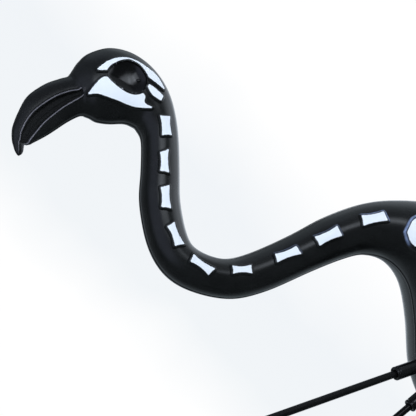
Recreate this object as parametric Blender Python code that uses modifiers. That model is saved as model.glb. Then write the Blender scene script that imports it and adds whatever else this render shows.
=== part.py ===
"""Lawn flamingo in its feeding pose: a moulded body with raised bones, on two rods set in the ground."""
import math

import bmesh
import bpy
from mathutils import Matrix, Vector
from mathutils.bvhtree import BVHTree

for old_object in list(bpy.data.objects):
    bpy.data.objects.remove(old_object, do_unlink=True)

# Driving sizes, in metres. The bird's head is towards -X, its tail towards +X.
BIRD_LENGTH = 0.660
BELLY_HEIGHT = 0.447
BONE_RELIEF = 0.0016
BONE_RIM = 0.0014
BONE_BEVEL = 0.0016
BONE_ROOT = 0.0024
EYE_SOCKET_DEPTH = 0.0058
EYE_BALL_DEPTH = 0.0070
ROD_DIAMETER = 0.0065
SLEEVE_DIAMETER = 0.0125
SLEEVE_CHAMFER = 0.0008
SLEEVE_SEAT = 0.030
ROD_SEAT = 0.025
FIT_GAP = 0.0003
LEG_OFFSET = 0.012
FRONT_LEG_X = -0.013
REAR_LEG_X = 0.0172
FRONT_SLEEVE_DROP = 0.0202
REAR_SLEEVE_DROP = 0.0115
FRONT_LEG_LEAN = math.radians(-15.0)
REAR_LEG_LEAN = math.radians(4.0)
LEG_SPLAY = math.radians(6.0)
RING_STEP = 0.0125
RING_SIDES = 24
ROUND_SIDES = 20
EYE_SIDES = 16
SMOOTH_ANGLE = math.radians(35.0)
# The least cosine that a mitre of a bone's outline is drawn with, and that a bone is lifted by.
MITRE_LIMIT = 0.6
SLOPE_LIMIT = 0.45

# The bird's pattern is drawn in millimetres at a length of 660 mm, from the point of the belly
# between its legs. A station is the upper edge (x, z), the lower edge (x, z) and the half width.
PATTERN_LENGTH = 660
SHARE = BIRD_LENGTH / PATTERN_LENGTH

BEAK = (
    (-357, -202.5, -353.5, -200, 2.2),
    (-364, -202, -355.5, -195.5, 3.8),
    (-373, -198.5, -359.5, -190, 5.2),
    (-381, -192.5, -358, -185, 6.5),
    (-389.7, -182, -357.5, -176.5, 7.6),
    (-399, -167, -358, -167, 8.8),
    (-402, -148, -360, -149, 10.6),
    (-400.5, -133, -360, -137, 12.4),
)
HEAD = (
    (-399, -124.5, -358, -132, 13.8),
    (-406, -110, -354, -128.5, 16.6),
    (-409, -97, -348.5, -125, 19),
    (-405, -77, -342, -116, 21),
    (-390.5, -60.5, -336, -104, 22),
    (-367, -51, -330.5, -99, 21.6),
    (-338.5, -51.5, -327, -98, 20.2),
)
NECK = (
    (-305.5, -64, -320.5, -97.5, 18.4),
    (-269, -86, -288, -117, 17.8),
    (-249.5, -98.5, -266.5, -132.5, 18.2),
    (-221.5, -110, -224.5, -148, 18.6),
    (-205.5, -110, -189, -143.5, 18.8),
    (-186.5, -94, -155.3, -113, 18.2),
    (-178, -69, -141.5, -78, 17.5),
    (-172.3, -23.5, -134, -28.5, 18.5),
    (-170.2, 12, -128, 5, 20.8),
)
BODY = (
    (-162, 54.5, -120, 29, 24),
    (-148.5, 85, -102, 47, 31),
    (-125, 118, -75, 50, 42),
    (-84, 149, -42.5, 33.5, 55),
    (-35, 166, -6, 8.5, 64),
    (20, 171, 32, 0, 67),
    (76, 165, 76, 3, 63),
    (130, 153, 120, 16, 54),
    (182, 140, 168, 41, 41),
    (223, 129, 210, 76, 27),
    (246, 121.5, 238, 99, 15),
)
TAIL_TIP = (251, 109)
BEAK_TIP = (-353.8, -203.2)

# Where the edges of the mouth cross each beak station, as shares of its height, and how deep
# the mouth is sunk between them.
MOUTH = (
    (0.42, 0.80, 0.0), (0.42, 0.84, 0.0), (0.43, 0.86, 0.4), (0.40, 0.84, 1.2),
    (0.36, 0.76, 1.9), (0.31, 0.68, 2.2), (0.27, 0.62, 2.2), (0.26, 0.58, 1.6), (0.25, 0.56, 0.6),
)
PLAIN_SIDE = (0.25, 0.75, 0.0)

EYE_CENTRE = (-367.5, -86)
EYE_BALL_HALF_SIZE = (21.4, 17.7)
EYE_TURN = math.radians(49.0)


def pattern(x, z):
    """Place a pattern point in the bird's middle plane."""
    return Vector((x * SHARE + HIP_X, 0.0, z * SHARE + BELLY_HEIGHT))


def foot_shift(lean):
    """Return how far a leg runs along X between the belly line and the ground."""
    return BELLY_HEIGHT * math.tan(lean)


# The origin is on the ground, midway between the feet of the two rods.
HIP_X = -(FRONT_LEG_X + foot_shift(FRONT_LEG_LEAN) + REAR_LEG_X + foot_shift(REAR_LEG_LEAN)) / 2


def leg_line(leg_x, lean, side, sleeve_drop):
    """Return where a leg's sleeve ends below the belly, and the direction in which the leg runs down."""
    run = Vector((math.tan(lean), side * math.tan(LEG_SPLAY), -1.0)).normalized()
    return Vector((HIP_X + leg_x, side * LEG_OFFSET, BELLY_HEIGHT)) + run * sleeve_drop, run


LEGS = {
    "front": (*leg_line(FRONT_LEG_X, FRONT_LEG_LEAN, -1, FRONT_SLEEVE_DROP), FRONT_SLEEVE_DROP + SLEEVE_SEAT),
    "rear": (*leg_line(REAR_LEG_X, REAR_LEG_LEAN, 1, REAR_SLEEVE_DROP), REAR_SLEEVE_DROP + SLEEVE_SEAT),
}


def new_collection(name):
    collection = bpy.data.collections.new(name)
    bpy.context.scene.collection.children.link(collection)
    return collection


PARTS = new_collection("lawn_flamingo")
CUTTERS = new_collection("lawn_flamingo_cutters")


def new_material(name, colour, roughness, metallic=0.0):
    material = bpy.data.materials.new(name)
    material.use_nodes = True
    shader = material.node_tree.nodes["Principled BSDF"]
    shader.inputs["Base Color"].default_value = (*colour, 1.0)
    shader.inputs["Roughness"].default_value = roughness
    shader.inputs["Metallic"].default_value = metallic
    return material


def add_object(name, mesh, collection, material=None):
    placed = bpy.data.objects.new(name, mesh)
    collection.objects.link(placed)
    if material:
        mesh.materials.append(material)
    return placed


def add_cutter(name, mesh):
    """Add an object that only shapes others."""
    cutter = add_object(name, mesh, CUTTERS)
    cutter.hide_render = True
    cutter.display_type = "WIRE"
    return cutter


def finish_mesh(bm, name, smooth_angle=None):
    """Turn a closed bmesh into a mesh whose faces point outwards."""
    bmesh.ops.recalc_face_normals(bm, faces=bm.faces)
    mesh = bpy.data.meshes.new(name)
    bm.to_mesh(mesh)
    bm.free()
    if smooth_angle:
        mesh.shade_smooth()
        mesh.set_sharp_from_angle(angle=smooth_angle)
    return mesh


def smooth_value(before, start, end, after, share):
    """Read a Catmull-Rom curve between start and end."""
    slope_in = (end - before) / 2
    slope_out = (after - start) / 2
    s2 = share * share
    s3 = s2 * share
    return ((2 * s3 - 3 * s2 + 1) * start + (s3 - 2 * s2 + share) * slope_in
            + (3 * s2 - 2 * s3) * end + (s3 - s2) * slope_out)


def smooth_rows(rows, step):
    """Fill in rows of numbers so that neighbours lie about one step apart, in pattern sizes."""
    filled = []
    for index in range(len(rows) - 1):
        around = [rows[max(index - 1, 0)], rows[index], rows[index + 1], rows[min(index + 2, len(rows) - 1)]]
        start, end = around[1], around[2]
        reach = max(math.dist(start[0:2], end[0:2]), math.dist(start[2:4], end[2:4]))
        parts = max(1, round(reach / step))
        for part in range(parts):
            filled.append([smooth_value(*values, part / parts) for values in zip(*around)])
    filled.append(list(rows[-1]))
    return filled


def ring(row):
    """Return one cross-section's points, sunk between the edges of the mouth."""
    top_x, top_z, low_x, low_z, half_width, upper_share, lower_share, sunk = row
    top, low = pattern(top_x, top_z), pattern(low_x, low_z)
    centre, reach = (top + low) / 2, (top - low) / 2
    half = RING_SIDES // 2
    third = half // 3
    marks = (0.0, math.acos(1 - 2 * upper_share), math.acos(1 - 2 * lower_share), math.pi)
    side = []
    for index in range(half + 1):
        span = min(index // third, 2)
        angle = marks[span] + (marks[span + 1] - marks[span]) * (index - span * third) / third
        width = half_width * math.sin(angle)
        if third < index < 2 * third:
            width -= sunk
        side.append((centre + reach * math.cos(angle), width * SHARE))
    near = [point + Vector((0, -width, 0)) for point, width in side]
    far = [point + Vector((0, width, 0)) for point, width in reversed(side[1:-1])]
    return near + far


def loft(rows, first_tip, last_tip):
    """Skin the rings of the rows and close both ends at a point."""
    bm = bmesh.new()
    rings = [[bm.verts.new(point) for point in ring(row)] for row in rows]
    for here, there in zip(rings, rings[1:]):
        for index in range(RING_SIDES):
            following = (index + 1) % RING_SIDES
            bm.faces.new((here[index], here[following], there[following], there[index]))
    for end_ring, tip in ((rings[0], first_tip), (rings[-1], last_tip)):
        pole = bm.verts.new(pattern(*tip))
        for index in range(RING_SIDES):
            bm.faces.new((end_ring[index], end_ring[(index + 1) % RING_SIDES], pole))
    return bm


def grown(outline, distance):
    """Move a closed outline outwards by a distance, with short mitres at its corners."""
    count = len(outline)
    turning = sum(outline[i].cross(outline[(i + 1) % count]) for i in range(count))
    sign = 1 if turning > 0 else -1
    moved = []
    for index, point in enumerate(outline):
        before = (point - outline[index - 1]).normalized()
        after = (outline[(index + 1) % count] - point).normalized()
        out = Vector((before.y + after.y, -before.x - after.x)) * sign
        out.normalize()
        square = Vector((after.y, -after.x)) * sign
        moved.append(point + out * distance / max(out.dot(square), MITRE_LIMIT))
    return moved


def bone_pad(bm, surface, upper, lower, side):
    """Add one raised bone to a side of the bird, between two edges with as many points each."""
    count = len(upper)
    flat = [Vector((p.x, p.z)) for p in (pattern(*q) for q in upper)]
    flat += [Vector((p.x, p.z)) for p in (pattern(*q) for q in reversed(lower))]
    levels = []
    for distance, lift in ((BONE_RIM + BONE_BEVEL, -BONE_ROOT), (BONE_RIM, BONE_RELIEF)):
        outline = grown(flat, distance)
        grid = []
        for index in range(count):
            above, below = outline[index], outline[2 * count - 1 - index]
            grid.append([bm.verts.new(on_skin(surface, p, side, lift)) for p in (above, (above + below) / 2, below)])
        levels.append(grid)
    root, top = levels
    for grid in levels:
        for here, there in zip(grid, grid[1:]):
            for column in (0, 1):
                bm.faces.new((here[column], here[column + 1], there[column + 1], there[column]))
    border = [(row, 0) for row in range(count)] + [(count - 1, 1)]
    border += [(row, 2) for row in reversed(range(count))] + [(0, 1)]
    for (row, column), (next_row, next_column) in zip(border, border[1:] + border[:1]):
        bm.faces.new((root[row][column], root[next_row][next_column], top[next_row][next_column], top[row][column]))


def on_skin(surface, point, side, lift):
    """Find the point of the skin at a place in the side view, and lift it off the skin."""
    far_off = BIRD_LENGTH
    hit, normal, _, _ = surface.ray_cast(Vector((point.x, side * far_off, point.y)), Vector((0, -side, 0)))
    slope = max(abs(normal.y), SLOPE_LIMIT)
    return hit + Vector((0, side * lift / slope, 0))


def vertebra(x, z, turn, length, end_width, waist):
    """Return the two edges of a vertebra: wide at its ends, drawn in at its waist."""
    along = Vector((math.cos(turn), math.sin(turn)))
    across = Vector((-along.y, along.x))
    centre = Vector((x, z))
    edges = []
    for sign in (1, -1):
        widths = (end_width, waist, end_width)
        places = [centre + along * length * share + across * sign * width / 2
                  for share, width in zip((-0.5, 0.0, 0.5), widths)]
        edges.append([tuple(place) for place in places])
    return edges


def rib(number, length):
    """Return the two edges of a rib that hangs under the back, bowed towards the tail."""
    x, z = (first + step * number for first, step in zip(FIRST_RIB, RIB_STEP))
    edges = []
    for side in (-0.5, 0.5):
        edge = []
        for part in range(RIB_PARTS + 1):
            share = part / RIB_PARTS
            bend = RIB_BOW * math.sin(math.pi * share)
            width = RIB_WIDTH * (1 - RIB_TAPER * share)
            edge.append((x + RIB_LEAN * share + bend + side * width, z - length * share))
        edges.append(edge)
    return edges


# The neck's vertebrae: centre, turn of the long axis in degrees, length, width at ends and waist.
NECK_BONES = (
    (-313.0, -77.0, -31, 18.0, 9.5, 7.6),
    (-285.5, -97.0, -33, 21.0, 9.5, 7.4),
    (-257.5, -114.0, -31, 20.5, 9.5, 7.4),
    (-225.0, -125.0, -8, 21.0, 8.5, 7.0),
    (-190.5, -119.0, 41, 20.5, 9.0, 7.0),
    (-169.0, -89.5, 63, 17.0, 9.0, 7.4),
    (-159.0, -45.0, 80, 23.5, 9.0, 7.4),
    (-153.0, -1.0, 84, 25.5, 10.0, 8.0),
    (-144.0, 49.0, 72, 24.0, 9.5, 8.0),
)
BACK_BONES = (
    (-26.0, 139.5, 8, 25.0, 12.5, 10.0),
    (9.0, 142.5, 2, 25.0, 12.5, 10.0),
    (44.0, 141.5, -5, 25.0, 12.0, 9.5),
    (79.0, 137.0, -9, 25.0, 11.5, 9.0),
    (113.0, 130.0, -13, 24.0, 11.0, 8.5),
)
TAIL_BONES = (
    (199.0, 113.5, -12, 12.0, 9.5, 7.5),
    (217.5, 110.5, -8, 10.0, 8.5, 6.5),
    (233.0, 109.0, -4, 8.0, 7.0, 5.5),
)
# The ribs hang side by side under the back: the first one's top, the step to the next, how long
# each is, and how far each leans, how wide it is at its top, how much of that it loses, and its bow.
FIRST_RIB = (-14.0, 112.0)
RIB_STEP = (31.0, -3.0)
RIB_LENGTHS = (58.0, 74.0, 79.0, 75.0, 64.0)
RIB_LEAN = -24.0
RIB_WIDTH = 9.5
RIB_TAPER = 0.35
RIB_BOW = 13.0
RIB_PARTS = 4

# The flat bones: their upper and lower edges.
BROW = (
    ((-389.5, -103), (-391, -90.5), (-387, -76.5), (-378.5, -67.5), (-366, -62), (-355, -58.5), (-343.5, -59)),
    ((-387.5, -103.5), (-386, -90.5), (-383, -76.5), (-376, -69.5), (-364.5, -66.5), (-354.5, -64), (-343.5, -60.5)),
)
CHEEK = (
    ((-370, -124), (-375, -105), (-366, -102), (-357, -96.5), (-348, -83), (-340, -85), (-333, -81.5)),
    ((-368.5, -125), (-364, -117), (-358, -111), (-350, -105.5), (-343.5, -99.5), (-338, -93.5), (-332.5, -83)),
)
NAPE = (
    ((-352.5, -72), (-346, -68.5), (-337.5, -65.5)),
    ((-351, -74.5), (-342.5, -74.5), (-334.5, -70.5)),
)
SHOULDER = (
    ((-118.5, 64), (-123, 75), (-117, 92), (-101, 112), (-77, 129), (-56, 136)),
    ((-117, 62), (-105, 61), (-91, 69), (-76, 86), (-61, 107), (-49, 129)),
)
PELVIS = (
    ((133, 119), (142, 124), (156, 123), (172, 118), (183, 116)),
    ((135, 109), (143, 96), (157, 93), (171, 100), (183, 110)),
)


def all_bones():
    """Return the edges of every bone on one side of the bird."""
    bones = [BROW, CHEEK, NAPE, SHOULDER, PELVIS]
    for x, z, turn, length, end_width, waist in NECK_BONES + BACK_BONES + TAIL_BONES:
        bones.append(vertebra(x, z, math.radians(turn), length, end_width, waist))
    bones += [rib(number, length) for number, length in enumerate(RIB_LENGTHS)]
    return bones


def boolean(target, cutter, operation):
    cut = target.modifiers.new(cutter.name, "BOOLEAN")
    cut.operation = operation
    cut.object = cutter
    cut.solver = "EXACT"


def turned_frame(origin, run):
    """Return a matrix that stands a turned piece on its axis, with +Z against the run."""
    frame = run.to_track_quat("-Z", "Y").to_matrix().to_4x4()
    frame.translation = origin
    return frame


def cylinder(radius, length):
    """Return a cylinder that reaches from the origin up by its length."""
    bm = bmesh.new()
    bmesh.ops.create_cone(bm, cap_ends=True, segments=ROUND_SIDES, radius1=radius, radius2=radius, depth=length)
    bmesh.ops.translate(bm, verts=bm.verts, vec=(0, 0, length / 2))
    return bm


def build_body(material):
    """The moulded bird: one closed skin from beak to tail, with bones, eye sockets and leg sockets."""
    stations = [row + mouth for row, mouth in zip(BEAK + HEAD[:1], MOUTH)]
    stations += [row + PLAIN_SIDE for row in HEAD[1:] + NECK + BODY]
    bm = loft(smooth_rows(stations, RING_STEP / SHARE), BEAK_TIP, TAIL_TIP)
    body = add_object("flamingo_body", finish_mesh(bm, "flamingo_body", SMOOTH_ANGLE), PARTS, material)
    surface = BVHTree.FromPolygons([v.co for v in body.data.vertices], [p.vertices for p in body.data.polygons])

    bm = bmesh.new()
    for side in (-1, 1):
        for upper, lower in all_bones():
            bone_pad(bm, surface, upper, lower, side)
    bones = add_cutter("raised_bones", finish_mesh(bm, "raised_bones"))

    bm = bmesh.new()
    middle = pattern(*EYE_CENTRE)
    upright = Matrix.Rotation(math.pi / 2, 4, "X")
    size = Matrix.Diagonal((EYE_BALL_HALF_SIZE[0] * SHARE, EYE_BALL_DEPTH, EYE_BALL_HALF_SIZE[1] * SHARE, 1.0))
    turn = Matrix.Rotation(-EYE_TURN, 4, "Y")
    for side in (-1, 1):
        centre = on_skin(surface, Vector((middle.x, middle.z)), side, 0.0)
        centre.y += side * (EYE_BALL_DEPTH - EYE_SOCKET_DEPTH)
        placed = Matrix.Translation(centre) @ turn @ size @ upright
        bmesh.ops.create_uvsphere(bm, u_segments=EYE_SIDES, v_segments=EYE_SIDES // 2, radius=1.0, matrix=placed)
    sockets = add_cutter("eye_sockets", finish_mesh(bm, "eye_sockets"))

    boolean(body, bones, "UNION")
    boolean(body, sockets, "DIFFERENCE")
    for name, (end, run, length) in LEGS.items():
        bore = cylinder(SLEEVE_DIAMETER / 2 + FIT_GAP, length + FIT_GAP)
        cutter = add_cutter(name + "_leg_socket", finish_mesh(bore, name + "_leg_socket"))
        cutter.matrix_world = turned_frame(end, run)
        boolean(body, cutter, "DIFFERENCE")
    return body


def build_sleeve(name, end, run, length, material):
    """A turned plastic sleeve: closed at its top, with a bore from below for the rod."""
    radius, bore = SLEEVE_DIAMETER / 2, ROD_DIAMETER / 2 + FIT_GAP
    profile = [
        (0.0, length), (radius, length), (radius, SLEEVE_CHAMFER), (radius - SLEEVE_CHAMFER, 0.0),
        (bore + SLEEVE_CHAMFER, 0.0), (bore, SLEEVE_CHAMFER), (bore, ROD_SEAT + FIT_GAP), (0.0, ROD_SEAT + FIT_GAP),
    ]
    mesh = bpy.data.meshes.new(name)
    mesh.from_pydata([(x, 0.0, z) for x, z in profile], [(i, i + 1) for i in range(len(profile) - 1)], [])
    sleeve = add_object(name, mesh, PARTS, material)
    screw = sleeve.modifiers.new("turn", "SCREW")
    screw.steps = ROUND_SIDES
    screw.render_steps = ROUND_SIDES
    screw.use_merge_vertices = True
    screw.merge_threshold = 0.00001
    sleeve.matrix_world = turned_frame(end, run)
    return sleeve


def build_rod(name, end, run, material):
    """A steel rod from inside the sleeve to the ground, where it is cut off flat."""
    top = end - run * ROD_SEAT
    length = top.z / -run.z
    bm = cylinder(ROD_DIAMETER / 2, length)
    frame = turned_frame(top + run * length, run)
    bmesh.ops.transform(bm, matrix=frame, verts=bm.verts)
    for vert in bm.verts:
        if (vert.co - top).length > length / 2:
            vert.co += run * (vert.co.z / -run.z)
            vert.co.z = 0.0
    return add_object(name, finish_mesh(bm, name, SMOOTH_ANGLE), PARTS, material)


black_plastic = new_material("black_moulded_plastic", (0.012, 0.013, 0.016), 0.32)
sleeve_plastic = new_material("black_sleeve_plastic", (0.014, 0.015, 0.017), 0.38)
black_steel = new_material("black_painted_steel", (0.010, 0.010, 0.012), 0.35, 0.0)

build_body(black_plastic)
for leg_name, (sleeve_end, leg_run, sleeve_length) in LEGS.items():
    build_sleeve(leg_name + "_leg_sleeve", sleeve_end, leg_run, sleeve_length, sleeve_plastic)
    build_rod(leg_name + "_leg_rod", sleeve_end, leg_run, black_steel)
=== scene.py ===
"""The looks of the lawn flamingo: a blow-moulded black bird with white painted bones, on two steel rods."""
import math

import bmesh
import bpy
from mathutils import Matrix, Vector
from mathutils.bvhtree import BVHTree


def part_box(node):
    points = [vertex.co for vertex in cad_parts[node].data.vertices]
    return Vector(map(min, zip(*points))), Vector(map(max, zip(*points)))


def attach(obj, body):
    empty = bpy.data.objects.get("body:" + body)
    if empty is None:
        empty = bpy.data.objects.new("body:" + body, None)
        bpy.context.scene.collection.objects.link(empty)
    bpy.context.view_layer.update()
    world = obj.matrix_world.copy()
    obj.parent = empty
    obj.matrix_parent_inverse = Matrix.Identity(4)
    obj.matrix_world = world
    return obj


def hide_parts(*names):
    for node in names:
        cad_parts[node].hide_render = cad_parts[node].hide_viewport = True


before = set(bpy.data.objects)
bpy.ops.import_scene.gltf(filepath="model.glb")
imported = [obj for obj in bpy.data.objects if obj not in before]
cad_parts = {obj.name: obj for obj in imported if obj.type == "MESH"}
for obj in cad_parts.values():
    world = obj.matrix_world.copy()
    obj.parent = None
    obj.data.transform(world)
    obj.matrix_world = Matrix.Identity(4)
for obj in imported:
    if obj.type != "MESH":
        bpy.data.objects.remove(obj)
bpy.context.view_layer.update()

# Skin of the bird.
# The real bird is one hollow blow-moulding in black plastic. Its two mould halves meet in the
# middle plane, where a thin seam stands up all round; the mouth is sunk between two raised lips.
MM = 0.001
# The skin lies this far inside its stations' outlines, which leaves room for the seam, and it keeps
# at least this half width.
SKIN_INSET = 0.55
LEAST_HALF_WIDTH = 0.5
# The seam, as distance from the middle plane and height: a rounded ridge with a dip beside it. It
# spans no more than an angle, in radians, and is lower where the half width is too small for it.
SEAM = ((0.0, 0.42), (0.48, 0.38), (0.96, 0.1), (1.44, -0.22), (2.4, -0.2), (3.68, 0.0))
SEAM_ANGLE = 0.32
FULL_SEAM_HALF_WIDTH = 6
# The beak's skin lies a step lower than the face's. The step starts where the beak's upper edge
# ends, runs back to the corner of the mouth, and is spread over these shares of a station.
BEAK_STEP = 0.7
MOUTH_CORNER_PLACE = 0.42
STEP_SPREAD = (-0.06, 0.08)

# A station of the bird is its upper edge (x, z), its lower edge (x, z) and its half width, in
# millimetres from the point of the belly between the legs.
BEAK = (
    (-356.1, -203.3, -353.1, -200.2, 1.9),
    (-358.0, -203.4, -353.4, -197.9, 2.8),
    (-360.8, -203.1, -355.0, -195.5, 3.6),
    (-364.4, -202.1, -358.2, -193, 4.3),
    (-367.8, -201.1, -359.9, -191.1, 4.8),
    (-371.2, -199.5, -358.2, -189.3, 5.2),
    (-376, -196.6, -357.4, -187.2, 5.9),
    (-381, -192.5, -357.5, -184.7, 6.5),
    (-389.7, -182, -357.5, -176.5, 7.6),
    (-399, -167, -358, -167, 8.8),
    (-402, -148, -360, -149, 10.6),
    (-400.5, -133, -360, -137, 12.4),
)
HEAD = (
    (-399, -124.5, -358, -132, 13.8),
    (-406, -110, -354, -128.5, 16.6),
    (-409, -97, -348.5, -125, 19),
    (-405, -77, -342, -116, 21),
    (-390.5, -60.5, -336, -104, 22),
    (-367, -51, -330.5, -99, 21.6),
    (-338.5, -51.5, -326, -97.4, 20.2),
)
NECK = (
    (-305.5, -64, -314.5, -99.6, 18.4),
    (-269, -86, -288, -117, 17.8),
    (-249.5, -98.5, -266.5, -132.5, 18.2),
    (-221.5, -110, -224.5, -148, 18.6),
    (-205.5, -110, -189, -143.5, 18.8),
    (-186.5, -94, -155.3, -113, 18.2),
    (-178, -69, -141.5, -78, 17.5),
    (-172.3, -23.5, -134, -28.5, 18.5),
    (-170.2, 12, -128, 5, 20.8),
)
TRUNK = (
    (-162, 54.5, -120, 29, 24),
    (-148.5, 85, -102, 47, 31),
    (-125, 118, -75, 50, 42),
    (-84, 149, -42.5, 33.5, 55),
    (-35, 166, -6, 8.5, 64),
    (20, 171, 32, 0, 67),
    (76, 165, 76, 3, 63),
    (130, 153, 120, 16, 54),
    (182, 140, 168, 41, 41),
    (223, 129, 210, 76, 27),
    (246, 121.5, 238, 99, 15),
)
BEAK_TIP = (-354.0, -202.0)
TAIL_TIP = (251, 109)
# The pattern is laid on the solid body by its foremost and its highest place.
FOREHEAD_X = -409
BACK_Z = 171

# The mouth at each beak station: where its lips cross the height, as shares, and how deep it is
# sunk between them, how high the lips stand, and half the width of a lip.
MOUTH = (
    (0.45, 0.90, 0.0, 0.0, 0.5),
    (0.45, 0.90, 0.0, 0.1, 0.5),
    (0.46, 0.92, 0.0, 0.25, 0.6),
    (0.47, 0.94, 0.0, 0.4, 0.6),
    (0.48, 0.95, 0.6, 0.5, 0.7),
    (0.47, 0.93, 1.6, 0.55, 0.7),
    (0.44, 0.90, 2.4, 0.6, 0.7),
    (0.405, 0.86, 3.0, 0.7, 0.8),
    (0.365, 0.79, 3.6, 0.7, 0.8),
    (0.40, 0.75, 4.0, 0.7, 0.8),
    (0.42, 0.72, 4.0, 0.7, 0.8),
    (0.45, 0.695, 3.4, 0.7, 0.8),
    (0.475, 0.65, 2.4, 0.6, 0.8),
)
# Where the mouth ends, as shares of the way to the face's next station, and the mouth there.
MOUTH_CORNER = ((0.36, (0.49, 0.64, 2.2, 0.8, 0.8)), (0.44, (0.50, 0.63, 0.0, 0.0, 0.8)))
NO_MOUTH = (0.50, 0.63, 0.0, 0.0, 1.5)
# A lip takes no more than a share of the height, and gets its full painted highlight where it stands this
# high.
LIP_SHARE = 0.1
FULL_HIGHLIGHT_LIP = 0.6
# The walls of the mouth and the fold along its floor, as shares of the mouth's height and depth.
# The recess is fully matt where it is this deep, and the fold takes some of that away.
MOUTH_WALL = 0.16
FOLD_PLACE, FOLD_WIDTH, FOLD_HEIGHT = 0.55, 0.05, 0.16
MATT_DEPTH, FOLD_SHINE = 1.5, 1.5
# Spacing of the cross-sections on the face and behind it, and the points on each side of one:
# above the mouth, in it and below it, and across a lip from edge to edge.
FINE_STEP, COARSE_STEP = 1.0, 2.6
UPPER_POINTS, MOUTH_POINTS, LOWER_POINTS = 15, 20, 15
LIP_POINTS = (-1.0, -0.66, -0.33, 0.0, 0.33, 0.66, 1.0)
# Behind the head the cross-sections are eased this often, so that the neck bends without kinks.
EASED_FROM_X = -335
EASING_PASSES = 16

BODY_BLACK = (0.0048, 0.0054, 0.0057)
BODY_ROUGHNESS, BODY_MOTTLING = 0.24, 0.30
# Painted highlight: the pale grey painted on the crests of the lips.
LIP_HIGHLIGHT_GREY = (0.25, 0.245, 0.29)
MATT_ROUGHNESS = 0.85

hip_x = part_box("flamingo_body")[0].x - FOREHEAD_X * MM
belly_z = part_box("flamingo_body")[1].z - BACK_Z * MM


def on_plane(x, z):
    """A place of the pattern in the bird's middle plane."""
    return Vector((hip_x + x * MM, 0.0, belly_z + z * MM))


def between(before, start, end, after, share):
    """The value at a share of the way from start to end, on a smooth curve through all four."""
    slope_in, slope_out = (end - before) / 2, (after - start) / 2
    square = share * share
    cube = square * share
    return ((2 * cube - 3 * square + 1) * start + (cube - 2 * square + share) * slope_in
            + (3 * square - 2 * cube) * end + (cube - square) * slope_out)


def filled_in(rows, step):
    """Rows of numbers with new ones between them, so that neighbours lie about a step apart."""
    filled = []
    for index in range(len(rows) - 1):
        before, after = rows[max(index - 1, 0)], rows[min(index + 2, len(rows) - 1)]
        start, end = rows[index], rows[index + 1]
        reach = max(math.dist(start[0:2], end[0:2]), math.dist(start[2:4], end[2:4]))
        parts = max(1, round(reach / step(index)))
        for part in range(parts):
            filled.append([between(*values, part / parts) for values in zip(before, start, end, after)])
    filled.append(list(rows[-1]))
    return filled


def eased(rows, first, passes):
    """The rows with the small kinks at the stations from the first one on rubbed out."""
    for _ in range(passes):
        fresh = [list(row) for row in rows]
        for index in range(first, len(rows) - 1):
            neighbours = zip(rows[index - 1], rows[index], rows[index + 1])
            fresh[index] = [(before + 2 * here + after) / 4 for before, here, after in neighbours]
        rows = fresh
    return rows


def faded(value, low, high):
    """A smooth step from nought at low to one at high."""
    share = max(0.0, min(1.0, (value - low) / (high - low)))
    return share * share * (3 - 2 * share)


def side_profile(row):
    """One side of a cross-section from the top seam to the bottom one: angle round it, how far the
    skin stands out there, and how much painted highlight that place gets, or minus how much it has been left
    matt."""
    height = math.dist(row[0:2], row[2:4])
    half_width, upper, lower, sunk, lip, lip_half, place = row[4:11]
    narrow = min(1.0, SEAM_ANGLE * half_width / SEAM[-1][0])
    low_seam = min(1.0, half_width / FULL_SEAM_HALF_WIDTH)
    half_lip = min(lip_half / height, LIP_SHARE)

    def angle(share):
        return math.acos(max(-1.0, min(1.0, 1 - 2 * share)))

    seam = [(narrow * reach / half_width, outward * low_seam, 0.0) for reach, outward in SEAM]
    first, top, low = seam[-1][0], angle(upper - half_lip), angle(lower + half_lip)
    profile = list(seam)
    for index in range(1, UPPER_POINTS):
        profile.append((first + (top - first) * index / UPPER_POINTS, 0.0, 0.0))
    for centre in (upper, lower):
        for across in LIP_POINTS:
            crest = math.cos(across * math.pi / 2) ** 2
            # The painted highlight is strongest on a lip's crest.
            painted_sheen = crest * min(1.0, lip / FULL_HIGHLIGHT_LIP)
            profile.append((angle(centre + across * half_lip), lip * crest, painted_sheen))
        if centre == upper:
            start, end = angle(upper + half_lip), angle(lower - half_lip)
            for index in range(1, MOUTH_POINTS):
                share = index / MOUTH_POINTS
                wall = faded(min(share, 1 - share), 0.0, MOUTH_WALL)
                fold = FOLD_HEIGHT * math.exp(-((share - FOLD_PLACE) / FOLD_WIDTH) ** 2)
                matt = (wall - FOLD_SHINE * fold) * min(1.0, sunk / MATT_DEPTH)
                profile.append((start + (end - start) * share, -sunk * (wall - fold), -matt))
    for index in range(1, LOWER_POINTS):
        profile.append((low + (math.pi - first - low) * index / LOWER_POINTS, 0.0, 0.0))
    profile += [(math.pi - turn, outward, painted_sheen) for turn, outward, painted_sheen in seam[::-1]]
    stepped = []
    for turn, outward, painted_sheen in profile:
        edge = MOUTH_CORNER_PLACE * math.sin(turn) ** 2
        face = faded(place, edge + STEP_SPREAD[0], edge + STEP_SPREAD[1])
        stepped.append((turn, outward - BEAK_STEP * (1 - face), painted_sheen))
    return stepped


def skin_ring(row):
    """The points of one cross-section, down the near side and up the far one, and each one's painted
    highlight or matt.
    """
    top, low = on_plane(*row[0:2]), on_plane(*row[2:4])
    centre, reach = (top + low) / 2, (top - low) / 2
    upright = reach.normalized()
    half_height = reach.length - SKIN_INSET * MM
    half_width = max(row[4] - SKIN_INSET, LEAST_HALF_WIDTH) * MM
    near, far = [], []
    for angle, outward, painted_sheen in side_profile(row):
        along, across = math.cos(angle), math.sin(angle)
        lifted = upright * (half_height + outward * MM * abs(along)) * along
        width = Vector((0, (half_width + outward * MM) * across, 0))
        near.append((centre + lifted - width, painted_sheen))
        far.append((centre + lifted + width, painted_sheen))
    return near + far[-2:0:-1]


def join_rings(bm, rings):
    """Join each ring of points to the next with faces. A ring of one point is a pole."""
    for here, there in zip(rings, rings[1:]):
        sides = max(len(here), len(there))
        for index in range(sides):
            following = (index + 1) % sides
            corners = [here[index % len(here)], here[following % len(here)]]
            corners += [there[following % len(there)], there[index % len(there)]]
            bm.faces.new(list(dict.fromkeys(corners)))


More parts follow.
